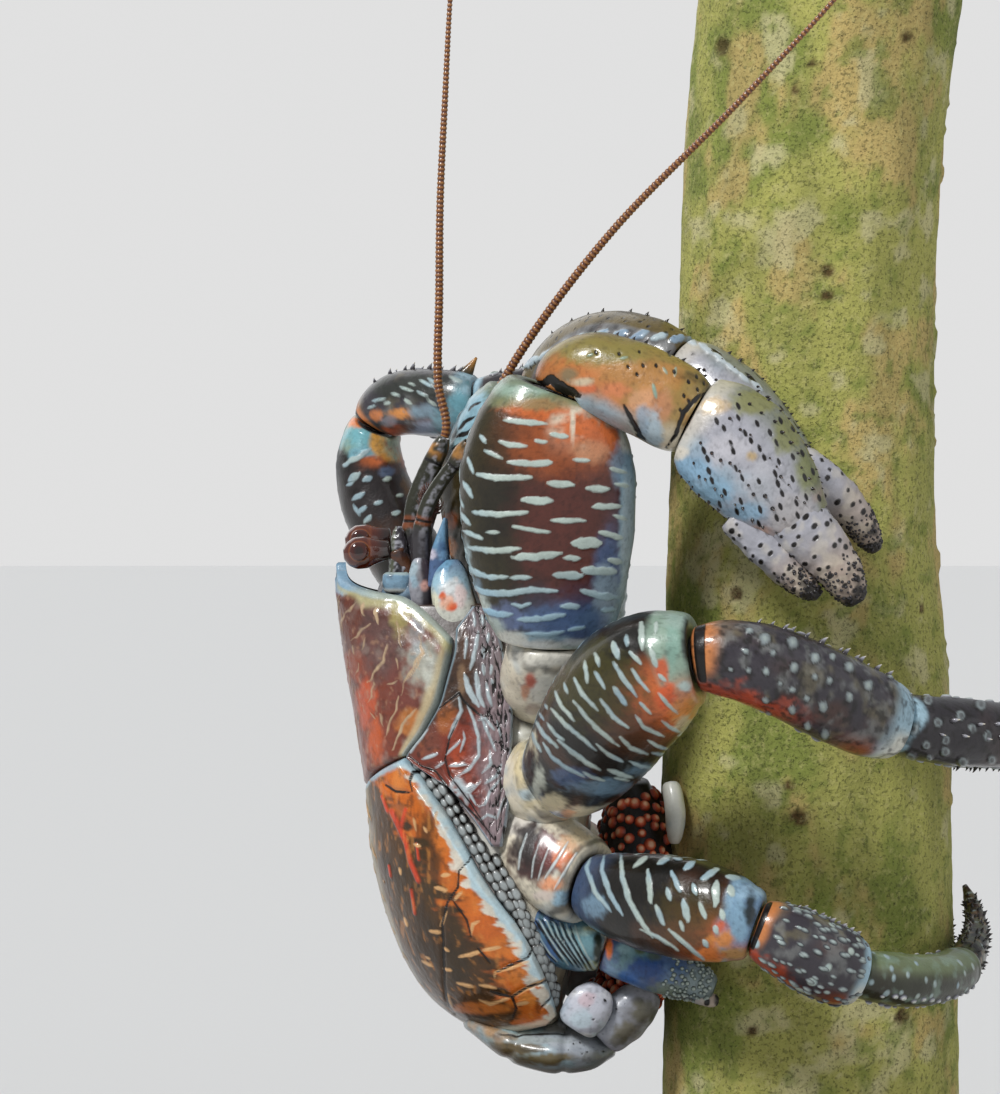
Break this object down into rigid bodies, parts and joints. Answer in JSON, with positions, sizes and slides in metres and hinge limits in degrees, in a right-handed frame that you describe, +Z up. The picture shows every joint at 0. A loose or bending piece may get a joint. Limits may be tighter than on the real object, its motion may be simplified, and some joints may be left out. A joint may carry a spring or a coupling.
{
  "type": "coconut crab",
  "caption": "Life-size still model of a coconut crab gripping a cut length of trunk with its claws and walking legs, long feelers raised, on a round display base.",
  "frame": {"origin": "centre of the underside of the round stand base", "axes": "+Z up along the trunk; +X from the crab toward the trunk; -Y is the crab's right side, which faces the viewer"},
  "size_m": [0.236, 0.236, 0.405],
  "materials": {
    "shell_shield": "glossy red-brown shell with pale streaks, blue-grey at the front corners",
    "shell_rear": "glossy orange and dark olive-brown shell with a pale blue rim",
    "shell_side": "dark brown shell with pale blue dashes and a pale network",
    "under_body": "cream and pale blue plates of the underside",
    "head_plates": "blue and grey granular plates",
    "eye": "deep red-brown, high gloss",
    "feeler": "ringed brown",
    "mouth": "dark brown with pale edges",
    "claw_arm": "maroon-brown with pale bars, orange zone and pale blue edges",
    "claw_wrist": "olive and orange-brown with dark dots",
    "claw_hand": "pale blue-grey with dark dots, granular dark finger tips",
    "leg": "near black with pale blue bars and dots, orange at the joints",
    "leg_tip": "dark green-blue, spiny",
    "small_leg": "blue with dark stripes and a cream rim",
    "belly_plate": "grey-blue plates",
    "belly_skin": "black skin with red-orange granules",
    "bark": "mottled green, khaki and tan bark with lichen",
    "stand_base": "dark satin wood",
    "stand_rod": "brushed"
  },
  "bodies": {
    "root": {"abdomen_base": "belly_plate", "abdomen_middle": "belly_skin", "abdomen_oval_left": "belly_plate", "abdomen_oval_right": "belly_plate", "abdomen_plate_left": "belly_plate", "abdomen_plate_right": "belly_plate", "antenna_base_left": "feeler", "antenna_base_right": "feeler", "antennule_left": "feeler", "antennule_right": "feeler", "carapace_rear": "shell_rear", "carapace_shield": "shell_shield", "claw_carpus_left": "claw_wrist", "claw_carpus_right": "claw_wrist", "claw_finger_left": "claw_hand", "claw_finger_right": "claw_hand", "claw_hand_left": "claw_hand", "claw_hand_right": "claw_hand", "claw_ischium_left": "under_body", "claw_ischium_right": "under_body", "claw_merus_left": "claw_arm", "claw_merus_right": "claw_arm", "eye_left": "eye", "eye_right": "eye", "feeler_left": "feeler", "feeler_right": "feeler", "head": "head_plates", "leg2_carpus_left": "leg", "leg2_carpus_right": "leg", "leg2_dactylus_left": "leg_tip", "leg2_dactylus_right": "leg_tip", "leg2_ischium_left": "under_body", "leg2_ischium_right": "under_body", "leg2_merus_left": "leg", "leg2_merus_right": "leg", "leg2_propodus_left": "leg", "leg2_propodus_right": "leg", "leg3_carpus_left": "leg", "leg3_carpus_right": "leg", "leg3_dactylus_left": "leg_tip", "leg3_dactylus_right": "leg_tip", "leg3_ischium_left": "under_body", "leg3_ischium_right": "under_body", "leg3_merus_left": "leg", "leg3_merus_right": "leg", "leg3_propodus_left": "leg", "leg3_propodus_right": "leg", "leg4_hand_left": "small_leg", "leg4_hand_right": "small_leg", "leg4_merus_left": "small_leg", "leg4_merus_right": "small_leg", "mouth_leg_left": "mouth", "mouth_leg_right": "mouth", "side_plate_left": "shell_side", "side_plate_right": "shell_side", "stand_base": "stand_base", "stand_rod": "stand_rod", "tail_fan": "belly_plate", "thorax": "under_body", "trunk": "bark"}
  },
  "joints": []
}
